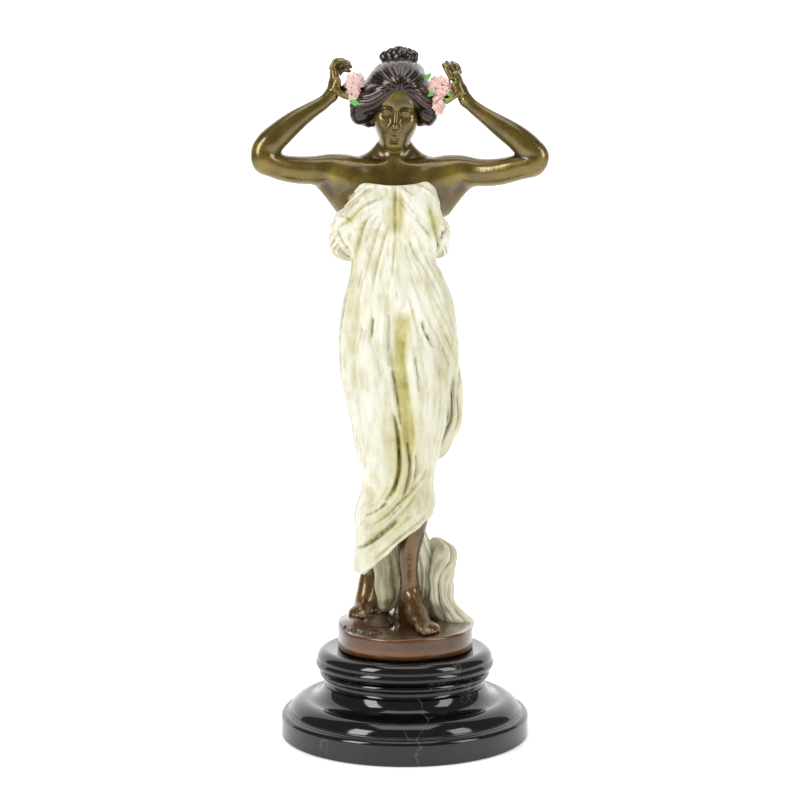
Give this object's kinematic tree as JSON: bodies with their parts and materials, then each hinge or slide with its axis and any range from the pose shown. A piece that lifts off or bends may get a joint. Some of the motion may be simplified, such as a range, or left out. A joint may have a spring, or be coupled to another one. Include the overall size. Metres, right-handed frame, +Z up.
{
  "type": "bronze nymph figure",
  "caption": "Standing bronze nymph with raised arms and flowers at her hair, in a cream painted drape, on a turned round black marble plinth.",
  "frame": {"origin": "centre of the plinth's round underside", "axes": "+Z up, the figure faces -Y, +X is on the right of a viewer in front of it"},
  "size_m": [0.1508, 0.13, 0.3623],
  "materials": {
    "marble": "polished black marble with a few pale veins",
    "bronze": "dark olive-brown patinated bronze, its drape painted cream over a dark wash"
  },
  "bodies": {
    "root": {"plinth": "marble", "nymph": "bronze"}
  },
  "joints": []
}
